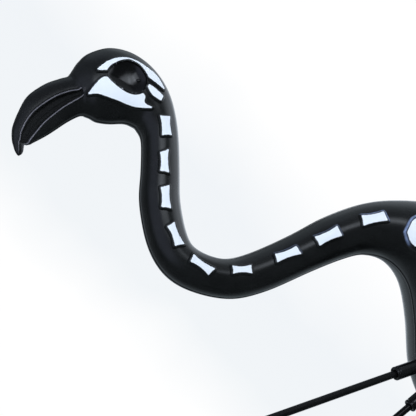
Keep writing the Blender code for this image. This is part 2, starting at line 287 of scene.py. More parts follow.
def new_piece(name, bm, material):
    """A finished bmesh as an object whose place is in its mesh."""
    mesh = bpy.data.meshes.new(name)
    bm.to_mesh(mesh)
    bm.free()
    mesh.shade_smooth()
    piece = bpy.data.objects.new(name, mesh)
    bpy.context.scene.collection.objects.link(piece)
    mesh.materials.append(material)
    return piece


def shader_nodes(material):
    """What links a material's nodes, its Principled shader, and a function that adds a node."""
    material.use_nodes = True
    tree = material.node_tree
    shader = tree.nodes["Principled BSDF"]

    def add(kind, **settings):
        node = tree.nodes.new(kind)
        for key, value in settings.items():
            if key in node.inputs:
                node.inputs[key].default_value = value
            else:
                setattr(node, key, value)
        return node

    return tree.links.new, shader, add


def ranged(link, add, value, low, high, start=0.0, end=1.0):
    """A node's value, brought from its range between low and high to one from start to end."""
    node = add("ShaderNodeMapRange")
    for name, number in zip(("From Min", "From Max", "To Min", "To Max"), (low, high, start, end)):
        node.inputs[name].default_value = number
    link(value, node.inputs["Value"])
    return node.outputs["Result"]


def toned(link, add, value, places, shades, colour):
    """A colour that goes from one shade of itself to another between two places of a value."""
    ramp = add("ShaderNodeValToRGB")
    for element, place, shade in zip(ramp.color_ramp.elements, places, shades):
        element.position = place
        element.color = (*[channel * shade for channel in colour], 1)
    link(value, ramp.inputs["Fac"])
    return ramp.outputs["Color"]


def moulded_plastic(name, colour, roughness, mottling):
    """Black plastic as it leaves the mould: satin, slightly mottled, with a very fine orange peel."""
    material = bpy.data.materials.new(name)
    link, shader, add = shader_nodes(material)
    place = add("ShaderNodeTexCoord").outputs["Object"]
    shader.inputs["IOR"].default_value = 1.5
    shader.inputs["Specular IOR Level"].default_value = 0.5

    mottle = add("ShaderNodeTexNoise", Scale=38.0, Detail=5.0, Roughness=0.6)
    link(place, mottle.inputs["Vector"])
    shades = (1 - mottling, 1 + mottling)
    shade = toned(link, add, mottle.outputs["Fac"], (0.35, 0.65), shades, colour)
    link(shade, shader.inputs["Base Color"])

    wear = add("ShaderNodeTexNoise", Scale=22.0, Detail=9.0, Roughness=0.72)
    link(place, wear.inputs["Vector"])
    dull = ranged(link, add, wear.outputs["Fac"], 0.3, 0.7, roughness * 0.82, roughness * 1.22)
    link(dull, shader.inputs["Roughness"])

    peel = add("ShaderNodeTexNoise", Scale=520.0, Detail=2.0)
    link(place, peel.inputs["Vector"])
    bump = add("ShaderNodeBump", Strength=0.13, Distance=0.0001)
    link(peel.outputs["Fac"], bump.inputs["Height"])
    link(bump.outputs["Normal"], shader.inputs["Normal"])
    return material


def add_lip_sheen_and_matt_mouth(material):
    """A pale, patchy painted highlight on the lips' crests where the piece asks for it, and a matt surface
    inside the mouth.
    A Mix node takes numbers at sockets 2 and 3 and colours at 6 and 7, and its colour leaves at 2."""
    link, shader, add = shader_nodes(material)
    clean = shader.inputs["Base Color"].links[0].from_socket
    rub = add("ShaderNodeAttribute", attribute_name="rub")
    patchy = add("ShaderNodeTexNoise", Scale=260.0, Detail=4.0)
    link(add("ShaderNodeTexCoord").outputs["Object"], patchy.inputs["Vector"])
    strength = ranged(link, add, patchy.outputs["Fac"], 0.2, 0.7, start=0.5)
    sharp = add("ShaderNodeMath", operation="POWER")
    sharp.inputs[1].default_value = 1.1
    painted_sheen = add("ShaderNodeMath", operation="MAXIMUM")
    painted_sheen.inputs[1].default_value = 0.0
    link(rub.outputs["Fac"], painted_sheen.inputs[0])
    link(painted_sheen.outputs[0], sharp.inputs[0])
    amount = add("ShaderNodeMath", operation="MULTIPLY")
    link(sharp.outputs[0], amount.inputs[0])
    link(strength, amount.inputs[1])
    colour = add("ShaderNodeMix", data_type="RGBA")
    # Pale grey painted over the lips as a highlight.
    colour.inputs[7].default_value = (*LIP_HIGHLIGHT_GREY, 1)
    link(amount.outputs[0], colour.inputs["Factor"])
    link(clean, colour.inputs[6])
    link(colour.outputs[2], shader.inputs["Base Color"])
    satin = shader.inputs["Roughness"].links[0].from_socket
    matt = ranged(link, add, rub.outputs["Fac"], -0.1, -0.8)
    finish = add("ShaderNodeMix")
    finish.inputs[3].default_value = MATT_ROUGHNESS
    link(matt, finish.inputs["Factor"])
    link(satin, finish.inputs[2])
    link(finish.outputs[0], shader.inputs["Roughness"])


body_plastic = moulded_plastic("black_body_plastic", BODY_BLACK, BODY_ROUGHNESS, BODY_MOTTLING)
add_lip_sheen_and_matt_mouth(body_plastic)

# Each station's last number is its place along the face: nought where the beak's upper edge ends.
with_mouth = enumerate(zip(BEAK + HEAD[:1], MOUTH))
stations = [(*row, *mouth, place - len(BEAK)) for place, (row, mouth) in with_mouth]
for share, mouth in MOUTH_CORNER:
    corner = [between(*values, share) for values in zip(BEAK[-1], HEAD[0], HEAD[1], HEAD[2])]
    stations.append((*corner, *mouth, share))
stations += [(*row, *NO_MOUTH, place + 1) for place, row in enumerate(HEAD[1:] + NECK + TRUNK)]
face_stations = len(BEAK) + len(MOUTH_CORNER) + len(HEAD)
skin_rows = filled_in(stations, lambda index: FINE_STEP if index < face_stations else COARSE_STEP)
first_eased = sum(1 for row in skin_rows if row[0] < EASED_FROM_X)
skin_rows = eased(skin_rows, first_eased, EASING_PASSES)

bm = bmesh.new()
# Each point keeps how much painted highlight it gets, or minus how much it is left matt.
sheen_and_matt_layer = bm.verts.layers.float.new("rub")
rings = [[bm.verts.new(on_plane(*BEAK_TIP))]]
for row in skin_rows:
    ring = []
    for point, painted_sheen in skin_ring(row):
        ring.append(bm.verts.new(point))
        ring[-1][sheen_and_matt_layer] = painted_sheen
    rings.append(ring)
rings.append([bm.verts.new(on_plane(*TAIL_TIP))])
join_rings(bm, rings)
bmesh.ops.recalc_face_normals(bm, faces=bm.faces)
skin = new_piece("flamingo_skin", bm, body_plastic)

# Raised bones.
# The skeleton is part of the moulding: each bone is a low plateau with a bevelled edge. Its top is
# painted white up to a thin bare rim, a little unevenly, as a spray through a stencil leaves it.
BONE_RELIEF = 1.6
BONE_RIM = 0.95
BONE_BEVEL, SHOULDER_BEVEL = 1.5, 2.8
# A bone reaches this far under the skin. Its faces are this long and, on flat bones, this wide.
BONE_ROOT = 0.8
BONE_GRAIN, LANE_GRAIN = 0.75, 1.05
LINE_STEP = 0.25
# How often a bone's corners are rounded, and what keeps their mitres short as its outline grows.
CORNER_PASSES = 2
MITRE_LIMIT = 0.6
# The bevel, from the plateau's edge outwards: shares of its width and of the bone's height.
BEVEL_PROFILE = ((0.0, 1.0), (0.12, 0.985), (0.35, 0.86), (0.62, 0.58), (0.86, 0.22), (1.0, 0.0))

# A neck bone's four corners, one end's two and then the other's, and how far its sides are hollowed.
NECK_BONES = (
    (-323.3, -78.2, -319.1, -69.9, -302.9, -78.4, -306.6, -86.4, 0.9),
    (-294.2, -96.2, -293.4, -88.0, -274.2, -99.8, -279.6, -105.8, 1.0),
    (-266.8, -113.6, -265.2, -105.5, -245.8, -116.4, -251.2, -123.0, 1.0),
    (-234.2, -128.2, -235.0, -120.2, -213.2, -123.5, -216.1, -132.0, 1.4),
    (-198.2, -127.7, -202.2, -121.5, -181.2, -111.5, -180.0, -119.9, 1.3),
    (-169.7, -100.4, -175.7, -96.4, -167.4, -80.6, -160.8, -84.3, 1.3),
    (-157.4, -59.2, -164.4, -55.9, -160.4, -33.9, -152.3, -34.4, 1.1),
    (-149.7, -15.6, -158.6, -14.7, -155.9, 10.4, -146.3, 8.7, 1.1),
    (-143.5, 31.2, -152.2, 36.1, -144.0, 56.8, -134.9, 53.9, 1.1),
)
# The back's and the tail's bones: centre, turn of the long axis in degrees, length, width at the
# ends, and how far the sides are hollowed.
BACK_BONES = (
    (-26.0, 139.5, 8, 25.0, 12.5, 1.3),
    (9.0, 142.5, 2, 25.0, 12.5, 1.3),
    (44.0, 141.5, -5, 25.0, 12.0, 1.3),
    (79.0, 137.0, -9, 25.0, 11.5, 1.3),
    (113.0, 130.0, -13, 24.0, 11.0, 1.2),
    (199.0, 113.5, -12, 12.0, 9.5, 1.0),
    (217.5, 110.5, -8, 10.0, 8.5, 0.9),
    (233.0, 109.0, -4, 8.0, 7.0, 0.7),
)
END_HOLLOW = 0.5
# A painted blue-white highlight on the bevels, by the last neck bones and the shoulder: its direction and
# its strength.
NECK_BEVEL_HIGHLIGHT = ((-0.5, 0.85, 0.0),) * 6 + ((-0.5, 0.85, 0.3), (-0.5, 0.85, 0.35), (-0.29, 0.96, 1.0))
SHOULDER_BEVEL_HIGHLIGHT = (-0.9, -0.43, 0.9)
NO_BEVEL_HIGHLIGHT = (0.0, 1.0, 0.0)
# It is painted on a bevel that faces its light, from none at the first of these to all at the second.
HIGHLIGHT_FACING = (0.1, 0.8)
# The ribs: the first one's top, the step to the next, and how each leans, narrows and bows.
FIRST_RIB = (-14.0, 112.0)
RIB_STEP = (31.0, -3.0)
RIB_LENGTHS = (58.0, 74.0, 79.0, 75.0, 64.0)
RIB_LEAN = -24.0
RIB_WIDTH = 9.5
RIB_TAPER = 0.35
RIB_BOW = 13.0

# The flat bones, by their upper and lower edges. Beside the eye they run on into its socket, which
# is cut through them, and the paint stops just short of its rim.
BROW = (
    ((-386.6, -104.2), (-388.6, -91.4), (-385.8, -78), (-378.3, -69.2), (-366, -62.6), (-355.7, -59.2),
     (-343.3, -60)),
    ((-385.4, -104.6), (-380.5, -96), (-380, -87), (-377.5, -79), (-370.5, -73), (-358.5, -68.5),
     (-343.3, -61.4)),
)
CHEEK = (
    ((-371.6, -122.5), (-377, -104), (-366, -95), (-357, -88), (-346, -80.6), (-340, -84), (-333, -79.8)),
    ((-370.4, -122.5), (-367, -116.2), (-358.8, -108.4), (-352.5, -102.6), (-346.8, -97.6),
     (-339.8, -90.6), (-332.8, -81.4)),
)
NAPE = (
    ((-352.5, -72), (-346, -68.5), (-337.5, -65.5)),
    ((-351, -74.5), (-342.5, -74.5), (-334.5, -70.5)),
)
SHOULDER = (
    ((-118.5, 64), (-123, 75), (-117, 92), (-101, 112), (-77, 129), (-56, 136)),
    ((-117, 62), (-105, 61), (-91, 69), (-76, 86), (-61, 107), (-49, 129)),
)
PELVIS = (
    ((133, 119), (142, 124), (156, 123), (172, 118), (183, 116)),
    ((135, 109), (143, 96), (157, 93), (171, 100), (183, 110)),
)
# The edge of the black round the eye, where the paint stops, and how many points it is given.
EYE_EDGE = (
    (-380.3, -100.2), (-384, -90.3), (-382.6, -76.2), (-374.6, -69.2), (-366, -67.8), (-358.3, -68.8),
    (-352.4, -73), (-348.6, -78.6), (-348.4, -84.6), (-351.3, -89.6), (-357.2, -94.6), (-365.8, -98.8),
    (-374.5, -101),
)
EYE_POINTS = 96
# The bones are laid on the skin along level lines that start this far out, in metres.
LINE_START = 0.5

PAINT_WHITE = (0.80, 0.86, 0.94)
PAINT_ROUGHNESS = 0.42
# The colour of the painted highlight on the bevels.
BEVEL_HIGHLIGHT_BLUE = (0.42, 0.56, 0.95)
# How far the paint's edge wanders, and over what distance it fades.
PAINT_WANDER, PAINT_FADE = 0.8, 0.16


def corners_of(x, z, turn, length, width):
    """The corners of a straight bone, one end's two and then the other's."""
    along = Vector((math.cos(math.radians(turn)), math.sin(math.radians(turn)))) / 2
    across = Vector((-along.y, along.x))
    shares = ((-1, -1), (-1, 1), (1, 1), (1, -1))
    return [value for a, b in shares for value in Vector((x, z)) + along * length * a + across * width * b]


def vertebra_grid(ax, az, bx, bz, cx, cz, dx, dz, hollow):
    """A vertebra's top as rows of places across it, from one end to the other."""
    a, b, c, d = Vector((ax, az)), Vector((bx, bz)), Vector((cx, cz)), Vector((dx, dz))
    along, across = ((c + d) - (a + b)) / 2, ((b + c) - (a + d)) / 2
    columns, lanes = round(along.length / BONE_GRAIN), round(across.length / BONE_GRAIN)
    grid = []
    for column in range(columns + 1):
        share = column / columns
        row = []
        for lane in range(lanes + 1):
            sway = lane / lanes
            point = a.lerp(b, sway).lerp(d.lerp(c, sway), share)
            point += across.normalized() * hollow * 4 * share * (1 - share) * (1 - 2 * sway)
            point += along.normalized() * END_HOLLOW * 4 * sway * (1 - sway) * (1 - 2 * share)
            row.append(point)
        grid.append(row)
    return grid


def evenly_along(points, count):
    """Places at even distances along a smooth line through points."""
    doubled = [(*point, *point) for point in points]
    fine = [Vector(row[0:2]) for row in filled_in(doubled, lambda index: LINE_STEP)]
    travelled = [0.0]
    for here, there in zip(fine, fine[1:]):
        travelled.append(travelled[-1] + (there - here).length)
    places, index = [], 0
    for number in range(count):
        wanted = travelled[-1] * number / (count - 1)
        while index < len(fine) - 2 and travelled[index + 1] < wanted:
            index += 1
        span = travelled[index + 1] - travelled[index]
        places.append(fine[index].lerp(fine[index + 1], (wanted - travelled[index]) / max(span, 1e-9)))
    return places


def beyond(outline, point):
    """How far a point lies outside a closed outline, or minus how far it lies inside."""
    nearest, within = math.inf, False
    for here, there in zip(outline, outline[1:] + outline[:1]):
        along = there - here
        share = max(0.0, min(1.0, (point - here).dot(along) / along.length_squared))
        nearest = min(nearest, (here + along * share - point).length)
        if (here.y > point.y) != (there.y > point.y):
            crossing = here.x + along.x * (point.y - here.y) / along.y
            within = within != (point.x < crossing)
    return -nearest if within else nearest


eye_edge = evenly_along(EYE_EDGE + EYE_EDGE[:1], EYE_POINTS + 1)[:-1]


def ruled_grid(upper, lower):
    """A bone's top between two edges, as rows of places across it."""
    columns = max(6, round(sum(math.dist(a, b) for a, b in zip(upper, upper[1:])) / BONE_GRAIN))
    lanes = max(4, round(max(math.dist(a, b) for a, b in zip(upper, lower)) / LANE_GRAIN))
    edges = zip(evenly_along(upper, columns + 1), evenly_along(lower, columns + 1))
    return [[a.lerp(b, lane / lanes) for lane in range(lanes + 1)] for a, b in edges]


def rib_grid(number, length):
    """A rib's top: it hangs under the back and bows towards the tail."""
    x, z = (first + step * number for first, step in zip(FIRST_RIB, RIB_STEP))
    edges = ([], [])
    for share in (0.0, 0.25, 0.5, 0.75, 1.0):
        middle = x + RIB_LEAN * share + RIB_BOW * math.sin(math.pi * share)
        half_width = RIB_WIDTH * (1 - RIB_TAPER * share) / 2
        edges[0].append((middle - half_width, z - length * share))
        edges[1].append((middle + half_width, z - length * share))
    return ruled_grid(*edges)


def stepped_out(loop, distance):
    """A closed outline moved outwards by a distance, with short mitres at its corners."""
    moved = []
    for index, point in enumerate(loop):
        before = (point - loop[index - 1]).normalized()
        after = (loop[(index + 1) % len(loop)] - point).normalized()
        out = Vector((before.y + after.y, -before.x - after.x)).normalized()
        straight = Vector((after.y, -after.x))
        moved.append(point + out * distance / max(out.dot(straight), MITRE_LIMIT))
    return moved


def lay_out_bone(bm, grid, bevel, mist):
    """Add one closed bone to the flat layout. Each point keeps how far it will stand off the skin,
    how far inside the painted edge it lies, and how much painted highlight it gets."""
    lift_layer, paint_layer, highlight_layer = (bm.verts.layers.float[name] for name in ("lift", "paint", "mist"))
    columns, lanes = len(grid) - 1, len(grid[0]) - 1
    border = [(column, 0) for column in range(columns)]
    border += [(columns, lane) for lane in range(lanes)]
    border += [(column, lanes) for column in range(columns, 0, -1)]
    border += [(0, lane) for lane in range(lanes, 0, -1)]
    loop = [grid[column][lane] for column, lane in border]
    if sum(loop[index - 1].cross(point) for index, point in enumerate(loop)) < 0:
        grid = [row[::-1] for row in grid]
        loop = [grid[column][lane] for column, lane in border]
    for _ in range(CORNER_PASSES):
        neighbours = zip(loop[-1:] + loop[:-1], loop, loop[1:] + loop[:1])
        loop = [(before + 2 * here + after) / 4 for before, here, after in neighbours]
    for (column, lane), point in zip(border, loop):
        grid[column][lane] = point

    def add(point, lift, paint):
        vert = bm.verts.new(on_plane(point.x, point.y))
        vert[lift_layer] = lift * MM
        vert[paint_layer] = paint * MM
        return vert

    def inside(column, lane):
        along, across = (grid[1][0] - grid[0][0]).length, (grid[column][1] - grid[column][0]).length
        return min(min(column, columns - column) * along, min(lane, lanes - lane) * across)

    top = []
    for column, row in enumerate(grid):
        paints = [min(inside(column, lane), beyond(eye_edge, point)) for lane, point in enumerate(row)]
        top.append([add(point, BONE_RELIEF, paint) for point, paint in zip(row, paints)])
    bottom = [[add(p, -BONE_ROOT, -BONE_RIM) for p in row] for row in grid]
    for level in (top, bottom):
        for here, there in zip(level, level[1:]):
            for lane in range(lanes):
                bm.faces.new((here[lane], there[lane], there[lane + 1], here[lane + 1]))
    outlines = [[top[column][lane] for column, lane in border]]
    for out, height in BEVEL_PROFILE:
        distance = BONE_RIM + out * bevel
        outlines.append([add(p, BONE_RELIEF * height, -distance) for p in stepped_out(loop, distance)])
        for vert, edge, outer in zip(outlines[-1], loop, stepped_out(loop, 1.0)):
            # A bevel that faces the light gets a painted highlight.
            facing = (outer - edge).normalized().dot(Vector(mist[0:2]))
            across = math.sin(math.pi * min(1.0, 0.1 + out))
            vert[highlight_layer] = mist[2] * faded(facing, *HIGHLIGHT_FACING) * across
    outlines.append([add(p, -BONE_ROOT, -BONE_RIM - bevel) for p in stepped_out(loop, BONE_RIM + bevel)])
    outlines.append([bottom[column][lane] for column, lane in border])
    join_rings(bm, outlines[::-1])


def skin_wrap(material):
    """A node tree that lays flat bones on one side of the skin and lifts them by their own heights."""
    tree = bpy.data.node_groups.new("bones_on_skin", "GeometryNodeTree")
    for name, kind in (("Bones", "NodeSocketGeometry"), ("Skin", "NodeSocketObject"),
                       ("Side", "NodeSocketFloat"), ("Start", "NodeSocketFloat")):
        tree.interface.new_socket(name, in_out="INPUT", socket_type=kind)
    tree.interface.new_socket("Bones", in_out="OUTPUT", socket_type="NodeSocketGeometry")
    add, link = tree.nodes.new, tree.links.new
    given, result = add("NodeGroupInput"), add("NodeGroupOutput")

    place, parts = add("GeometryNodeInputPosition"), add("ShaderNodeSeparateXYZ")
    link(place.outputs["Position"], parts.inputs["Vector"])
    away = add("ShaderNodeMath")
    away.operation = "MULTIPLY"
    link(given.outputs["Side"], away.inputs[0])
    link(given.outputs["Start"], away.inputs[1])
    start = add("ShaderNodeCombineXYZ")
    link(parts.outputs["X"], start.inputs["X"])
    link(away.outputs[0], start.inputs["Y"])
    link(parts.outputs["Z"], start.inputs["Z"])
    against = add("ShaderNodeMath")
    against.operation = "MULTIPLY"
    against.inputs[1].default_value = -1.0
    link(given.outputs["Side"], against.inputs[0])
    inwards = add("ShaderNodeCombineXYZ")
    link(against.outputs[0], inwards.inputs["Y"])

    surface, cast = add("GeometryNodeObjectInfo"), add("GeometryNodeRaycast")
    surface.transform_space = "RELATIVE"
    cast.data_type = "FLOAT_VECTOR"
    normal = add("GeometryNodeInputNormal")
    link(given.outputs["Skin"], surface.inputs["Object"])
    link(surface.outputs["Geometry"], cast.inputs["Target Geometry"])
    link(normal.outputs["Normal"], cast.inputs["Attribute"])
    link(start.outputs["Vector"], cast.inputs["Source Position"])
    link(inwards.outputs["Vector"], cast.inputs["Ray Direction"])

    lift = add("GeometryNodeInputNamedAttribute")
    lift.data_type = "FLOAT"
    lift.inputs["Name"].default_value = "lift"
    straight, raised, lifted = (add("ShaderNodeVectorMath") for _ in range(3))
    straight.operation, raised.operation, lifted.operation = "NORMALIZE", "SCALE", "ADD"
    link(cast.outputs["Attribute"], straight.inputs[0])
    link(straight.outputs["Vector"], raised.inputs[0])
    link(lift.outputs["Attribute"], raised.inputs["Scale"])
    link(cast.outputs["Hit Position"], lifted.inputs[0])
    link(raised.outputs["Vector"], lifted.inputs[1])

    moved, real = add("GeometryNodeSetPosition"), add("GeometryNodeRealizeInstances")
    dressed = add("GeometryNodeSetMaterial")
    dressed.inputs["Material"].default_value = material
    link(given.outputs["Bones"], moved.inputs["Geometry"])
    link(lifted.outputs["Vector"], moved.inputs["Position"])
    link(moved.outputs["Geometry"], real.inputs["Geometry"])
    link(real.outputs["Geometry"], dressed.inputs["Geometry"])
    link(dressed.outputs["Geometry"], result.inputs["Bones"])
    return tree


def painted_plastic(name, paint_colour):
    """The body's black plastic, painted wherever the piece says that it lies inside the painted
    edge, and with a painted blue highlight where the piece says so."""
    material = moulded_plastic(name, BODY_BLACK, BODY_ROUGHNESS, BODY_MOTTLING)
    link, shader, add = shader_nodes(material)
    bare = shader.inputs["Base Color"].links[0].from_socket
    bare_roughness = shader.inputs["Roughness"].links[0].from_socket
    place = add("ShaderNodeTexCoord").outputs["Object"]
    inside = add("ShaderNodeAttribute", attribute_name="paint")
    ragged = add("ShaderNodeTexNoise", Scale=420.0, Detail=3.0)
    link(place, ragged.inputs["Vector"])
    centred = add("ShaderNodeMath", operation="SUBTRACT")
    centred.inputs[1].default_value = 0.5
    link(ragged.outputs["Fac"], centred.inputs[0])
    edge = add("ShaderNodeMath", operation="MULTIPLY_ADD")
    edge.inputs[1].default_value = PAINT_WANDER * MM
    link(centred.outputs[0], edge.inputs[0])
    link(inside.outputs["Fac"], edge.inputs[2])
    cover = ranged(link, add, edge.outputs[0], -PAINT_FADE * MM / 2, PAINT_FADE * MM / 2)

    cloud = add("ShaderNodeTexNoise", Scale=60.0, Detail=4.0)
    link(place, cloud.inputs["Vector"])
    tint = toned(link, add, cloud.outputs["Fac"], (0.0, 1.0), (0.95, 1.0), paint_colour)
    # The painted highlight on the bevels, patchy.
    highlight_amount = add("ShaderNodeMath", operation="MULTIPLY")
    link(add("ShaderNodeAttribute", attribute_name="mist").outputs["Fac"], highlight_amount.inputs[0])
    link(ragged.outputs["Fac"], highlight_amount.inputs[1])
    highlighted = add("ShaderNodeMix", data_type="RGBA")
    highlighted.inputs[7].default_value = (*BEVEL_HIGHLIGHT_BLUE, 1)
    link(highlight_amount.outputs[0], highlighted.inputs["Factor"])
    link(bare, highlighted.inputs[6])
    colour = add("ShaderNodeMix", data_type="RGBA")
    link(cover, colour.inputs["Factor"])
    link(highlighted.outputs[2], colour.inputs[6])
    link(tint, colour.inputs[7])
    link(colour.outputs[2], shader.inputs["Base Color"])
    finish = add("ShaderNodeMix")
    finish.inputs[3].default_value = PAINT_ROUGHNESS
    link(cover, finish.inputs["Factor"])
    link(bare_roughness, finish.inputs[2])
    link(finish.outputs[0], shader.inputs["Roughness"])
    return material


def made_plain(piece):
    """Take what a piece's modifiers make of it as its own mesh."""
    graph = bpy.context.evaluated_depsgraph_get()
    shaped = piece.evaluated_get(graph)
    mesh = bpy.data.meshes.new_from_object(shaped, preserve_all_data_layers=True, depsgraph=graph)
    piece.modifiers.clear()
    mesh.name = piece.name
    piece.data = mesh


bone_finish = painted_plastic("painted_bone_plastic", PAINT_WHITE)
wrap_tree = skin_wrap(bone_finish)
wrap_sockets = wrap_tree.interface.items_tree
wrap_inputs = {socket.name: socket.identifier for socket in wrap_sockets if socket.in_out == "INPUT"}

bm = bmesh.new()
for name in ("lift", "paint", "mist"):
    bm.verts.layers.float.new(name)
for bone, mist in zip(NECK_BONES, NECK_BEVEL_HIGHLIGHT):
    lay_out_bone(bm, vertebra_grid(*bone), BONE_BEVEL, mist)
for *bone, hollow in BACK_BONES:
    lay_out_bone(bm, vertebra_grid(*corners_of(*bone), hollow), BONE_BEVEL, NO_BEVEL_HIGHLIGHT)
for edges in (BROW, CHEEK, NAPE, PELVIS):
    lay_out_bone(bm, ruled_grid(*edges), BONE_BEVEL, NO_BEVEL_HIGHLIGHT)
lay_out_bone(bm, ruled_grid(*SHOULDER), SHOULDER_BEVEL, SHOULDER_BEVEL_HIGHLIGHT)
for number, length in enumerate(RIB_LENGTHS):
    lay_out_bone(bm, rib_grid(number, length), BONE_BEVEL, NO_BEVEL_HIGHLIGHT)
layout = bpy.data.meshes.new("bone_layout")
bm.to_mesh(layout)
bm.free()

bone_pieces = []
for name, side in (("near_side_bones", -1.0), ("far_side_bones", 1.0)):
    piece = bpy.data.objects.new(name, layout)
    bpy.context.scene.collection.objects.link(piece)
    wrap = piece.modifiers.new("wrap", "NODES")
    wrap.node_group = wrap_tree
    wrap[wrap_inputs["Skin"]] = skin
    wrap[wrap_inputs["Side"]] = side
    wrap[wrap_inputs["Start"]] = LINE_START
    made_plain(piece)
    bm = bmesh.new()
    bm.from_mesh(piece.data)
    bmesh.ops.recalc_face_normals(bm, faces=bm.faces)
    bm.to_mesh(piece.data)
    bm.free()
    piece.data.shade_smooth()
    bone_pieces.append(piece)

# Eye sockets.
# Each eye is an almond-shaped bowl sunk in the side of the head, as smooth and glossy as the mould
# that pressed it, with a small pip in it. It is pressed through the skin and the bones beside it.
EYE_CENTRE = (-365.0, -85.0)
EYE_DEPTH = 6.0
# The bowl's size, as a share of the black round the eye, and the power that shapes it: at a half
# its wall would meet the skin upright, and at one it would be a dish.
BOWL_SHARE = 0.94
BOWL_ROUNDING = 0.62
BOWL_RINGS = 22
STAMP_WALL = 6.0
PIP_CENTRE = (-361.0, -76.0)
PIP_TURN = math.radians(49)
PIP_HALF_SIZE = (2.4, 1.0, 1.7)
# The socket and its pip are darker than the body: painted shade in the hollow.
SOCKET_SHADE_BLACK = (0.0015, 0.0015, 0.0018)
# Edges that turn more than this stay sharp, as the rim of a socket does.
RIM_ANGLE = math.radians(42)


def surface_of(piece):
    """A piece's faces, ready to be searched."""
    places = [vert.co for vert in piece.data.vertices]
    return BVHTree.FromPolygons(places, [face.vertices for face in piece.data.polygons])


def on_side(surface, place, side):
    """The point of a surface that lies level with a place of the pattern, on one side of the bird."""
    start = on_plane(*place) + Vector((0, side * LINE_START, 0))
    return surface.ray_cast(start, Vector((0, -side, 0)))[0]


# Glossy, and darker than the body's plastic as painted shade.
shaded_socket_plastic = moulded_plastic("glossy_socket_plastic", SOCKET_SHADE_BLACK, 0.14, 0.2)
whole_skin = surface_of(skin)

# The stamp that presses a socket is a bowl whose edge lies on the skin, with a straight wall above it.
bm = bmesh.new()
for side in (-1, 1):
    deepest = on_side(whole_skin, EYE_CENTRE, side) - Vector((0, side * EYE_DEPTH * MM, 0))
    bowl_edge = [on_side(whole_skin, Vector(EYE_CENTRE).lerp(place, BOWL_SHARE), side) for place in eye_edge]
    above = Vector((0, side * STAMP_WALL * MM, 0))
    rings = [[bm.verts.new(deepest)]]
    for number in range(1, BOWL_RINGS + 1):
        share = math.sin(math.pi / 2 * number / BOWL_RINGS)
        rise = 1 - max(0.0, 1 - share * share) ** BOWL_ROUNDING
        ring = []
        for place in bowl_edge:
            flat = deepest.lerp(place, share)
            ring.append(bm.verts.new((flat.x, deepest.y + (place.y - deepest.y) * rise, flat.z)))
        rings.append(ring)
    rings.append([bm.verts.new(place + above) for place in bowl_edge])
    rings.append([bm.verts.new(deepest + above * 3)])
    join_rings(bm, rings)
bmesh.ops.recalc_face_normals(bm, faces=bm.faces)
eye_stamps = new_piece("eye_stamps", bm, shaded_socket_plastic)
for piece in [skin] + bone_pieces:
    press = piece.modifiers.new("eyes", "BOOLEAN")
    press.operation = "DIFFERENCE"
    press.object = eye_stamps
    press.solver = "EXACT"
    press.material_mode = "TRANSFER"
    made_plain(piece)
    piece.data.set_sharp_from_angle(angle=RIM_ANGLE)
    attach(piece, "root")
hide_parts("flamingo_body")
bpy.data.objects.remove(eye_stamps)

bm = bmesh.new()
sockets = surface_of(skin)
for side in (-1, 1):
    seat = Matrix.Translation(on_side(sockets, PIP_CENTRE, side))
    size = Matrix.Diagonal([half * MM for half in PIP_HALF_SIZE]).to_4x4()
    placed = seat @ Matrix.Rotation(-PIP_TURN, 4, "Y") @ size
    bmesh.ops.create_uvsphere(bm, u_segments=24, v_segments=16, radius=1.0, matrix=placed)
pips = new_piece("eye_pips", bm, shaded_socket_plastic)
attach(pips, "root")

# Leg sleeves.
# A turned black plastic sleeve is pushed into the belly for each rod. It ends in a rounded lip with
# a groove behind it, and a countersunk hole in which the rod sits.
LEG_OFFSET = 12.0
LEG_SPLAY = math.radians(6.0)
# How far a sleeve reaches up into the belly, and a rod up into its sleeve, with a gap above it.
SLEEVE_SEAT = 30.0
ROD_SEAT = 25.0
SEAT_GAP = 0.3
SLEEVE_RADIUS = 6.2
TURNED_SIDES = 64
TURNED_EDGE = math.radians(50)
# For each leg: its place along the bird, how far it leans forwards, its side, and the sleeve's drop.
LEGS = (
    ("front", -13.0, math.radians(-15.0), -1, 20.2),
    ("rear", 17.2, math.radians(4.0), 1, 11.5),
)
# The sleeve's end, as radius and height above its foot.
SLEEVE_END = (
    (SLEEVE_RADIUS, 4.6), (6.18, 4.2), (5.9, 3.95), (5.62, 3.6), (5.6, 3.2), (5.85, 2.8), (6.16, 2.55),
    (6.22, 2.2), (6.22, 1.3), (6.12, 0.75), (5.85, 0.3), (5.45, 0.06), (5.0, 0.0), (4.75, 0.05),
    (4.6, 0.3), (4.5, 0.75), (4.3, 0.95), (4.0, 1.0), (3.7, 1.15), (3.56, 1.5),
    (3.55, ROD_SEAT + SEAT_GAP), (0.0, ROD_SEAT + SEAT_GAP),
)


def turned(name, profile, placed, sides, material):
    """A closed turned piece whose profile runs from one pole on its axis to the other."""
    bm = bmesh.new()
    rings = []
    for radius, height in profile:
        ring = []
        for index in range(sides if radius else 1):
            angle = 2 * math.pi * index / sides
            point = Vector((math.cos(angle) * radius, math.sin(angle) * radius, height)) * MM
            ring.append(bm.verts.new(placed @ point))
        rings.append(ring)
    join_rings(bm, rings)
    bmesh.ops.recalc_face_normals(bm, faces=bm.faces)
    return new_piece(name, bm, material)


